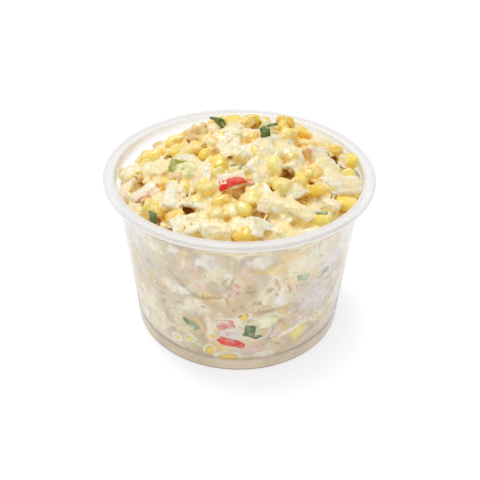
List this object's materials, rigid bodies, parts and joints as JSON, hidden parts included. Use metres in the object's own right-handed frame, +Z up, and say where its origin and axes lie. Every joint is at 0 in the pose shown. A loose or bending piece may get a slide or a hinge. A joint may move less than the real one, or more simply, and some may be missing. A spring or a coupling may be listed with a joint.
{
  "type": "cup of crab salad",
  "caption": "Creamy crab stick and sweetcorn salad heaped over the rim of a clear round deli cup with a rolled flange.",
  "frame": {"origin": "on the surface the cup stands on, under the middle of the cup", "axes": "+Z up along the cup's axis, -Y towards the side shown in the picture, +X to that side's right"},
  "size_m": [0.117, 0.117, 0.0921],
  "materials": {
    "clear_plastic": "clear, thin, glossy",
    "dressing": "creamy, moist",
    "sweetcorn": "smooth, moist skins",
    "egg": "moist, cut faces",
    "crab_stick": "white fibres with a red skin",
    "cucumber": "pale wet flesh with a green skin",
    "herb": "chopped leaf"
  },
  "bodies": {
    "root": {"cup": "clear_plastic", "salad": "dressing"}
  },
  "joints": []
}
